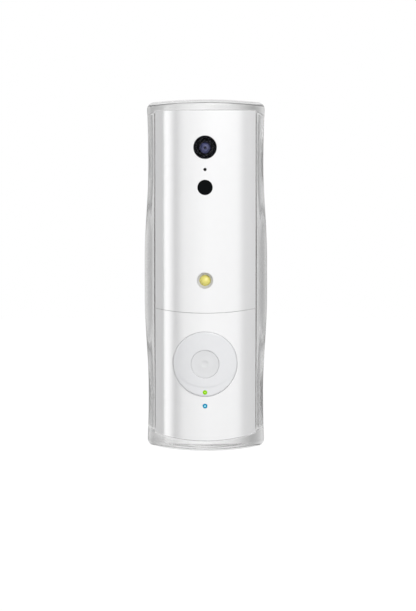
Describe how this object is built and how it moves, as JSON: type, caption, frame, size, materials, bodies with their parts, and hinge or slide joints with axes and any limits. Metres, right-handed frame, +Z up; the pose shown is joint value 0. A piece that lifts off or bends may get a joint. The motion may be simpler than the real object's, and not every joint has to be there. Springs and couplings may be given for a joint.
{
  "type": "video doorbell",
  "caption": "Slim wall-mounted video doorbell: bowed glossy white body with camera, sensor, lamp and round bell button, set in a thick clear wavy-sided shell, hung on a hooked bracket.",
  "frame": {"origin": "centre of the wall bracket's back face, on the wall", "axes": "+Z up, +X to the visitor's right, the front faces -Y, +Y into the wall"},
  "size_m": [0.0492, 0.0336, 0.1378],
  "materials": {
    "bracket_grey": "moulded grey plastic",
    "housing_white": "fine matt texture",
    "shell_clear": "polished clear plastic",
    "cover_white": "high gloss white",
    "button_white": "satin, cool white",
    "centre_white": "satin, cool white",
    "seal_rubber": "soft",
    "foam": "closed-cell foam",
    "adhesive": "adhesive tape",
    "steel": "plated",
    "spring_steel": "drawn wire",
    "brass": "bright",
    "terminal_green": "moulded",
    "window_glass": "dark clear window",
    "lens_glass": "coated",
    "filter_glass": "coated",
    "black_matt": "matt black",
    "black_gloss": "gloss black",
    "board": "circuit board, solder mask",
    "chip": "moulded package",
    "flex": "polyimide film",
    "lamp_grey": "reflector",
    "phosphor": "yellow phosphor resin",
    "aluminium": "plain",
    "wire_red": "wire sleeve",
    "connector": "moulded",
    "cone": "speaker cone film",
    "light_blue": "lit light pipe",
    "light_green": "lit light pipe",
    "led": "small light emitting diode",
    "reset_orange": "moulded"
  },
  "bodies": {
    "bracket": {"wall_bracket": "bracket_grey"},
    "doorbell": {"rear_housing": "housing_white", "clear_shell": "shell_clear", "upper_front_cover": "cover_white", "lower_front_cover": "cover_white", "housing_screws": "steel", "shell_adhesive": "adhesive", "cover_seal": "seal_rubber", "terminal_block": "terminal_green", "terminal_screws": "brass", "terminal_seal": "foam", "camera_window": "window_glass", "camera_bezel": "black_matt", "lens_barrel": "black_matt", "front_lens": "lens_glass", "rear_lens": "lens_glass", "lens_holder": "black_matt", "ir_filter": "filter_glass", "image_sensor": "chip", "camera_board": "board", "camera_screws": "steel", "camera_flex": "flex", "mic_boot": "seal_rubber", "microphone": "steel", "sensor_window": "black_gloss", "light_sensor": "chip", "sensor_board": "board", "sensor_flex": "flex", "lamp_bezel": "lamp_grey", "lamp_led": "phosphor", "lamp_board": "aluminium", "inner_wires": "wire_red", "main_board": "board", "main_board_screws": "steel", "processor_shield": "steel", "wifi_module": "steel", "wifi_antenna": "brass", "power_inductor": "chip", "power_capacitor": "aluminium", "flex_connectors": "connector", "reset_switch": "steel", "speaker_frame": "black_matt", "speaker_cone": "cone", "speaker_magnet": "steel", "speaker_gasket": "foam", "button_board": "board", "button_board_screws": "steel", "button_switch": "chip", "button_flex": "flex", "status_leds": "led", "blue_light_pipe": "light_blue"},
    "bell_button": {"bell_button": "button_white", "button_center": "centre_white", "green_light_pipe": "light_green", "button_retainer": "connector", "button_spring": "spring_steel"},
    "switch_plunger": {"switch_plunger": "black_matt"},
    "reset_button": {"reset_button": "reset_orange"}
  },
  "joints": [
    {"name": "lift_off", "type": "slide", "parent": "bracket", "child": "doorbell", "axis": [0, 0, 1], "range_m": [0, 0.007]},
    {"name": "bell_button_press", "type": "slide", "parent": "doorbell", "child": "bell_button", "axis": [0, 1, 0], "range_m": [0, 0.0006], "stiffness_N_per_m": 1200, "springref_m": -0.0004, "deforming": ["button_spring"]},
    {"name": "switch_press", "type": "slide", "parent": "doorbell", "child": "switch_plunger", "axis": [0, 1, 0], "range_m": [0, 0.0003]},
    {"name": "reset_press", "type": "slide", "parent": "doorbell", "child": "reset_button", "axis": [0, -1, 0], "range_m": [0, 0.0004], "stiffness_N_per_m": 1500, "springref_m": -0.0002}
  ],
  "couplings": [
    {"joint": "switch_press", "follows": "bell_button_press", "ratio": 0.5}
  ]
}
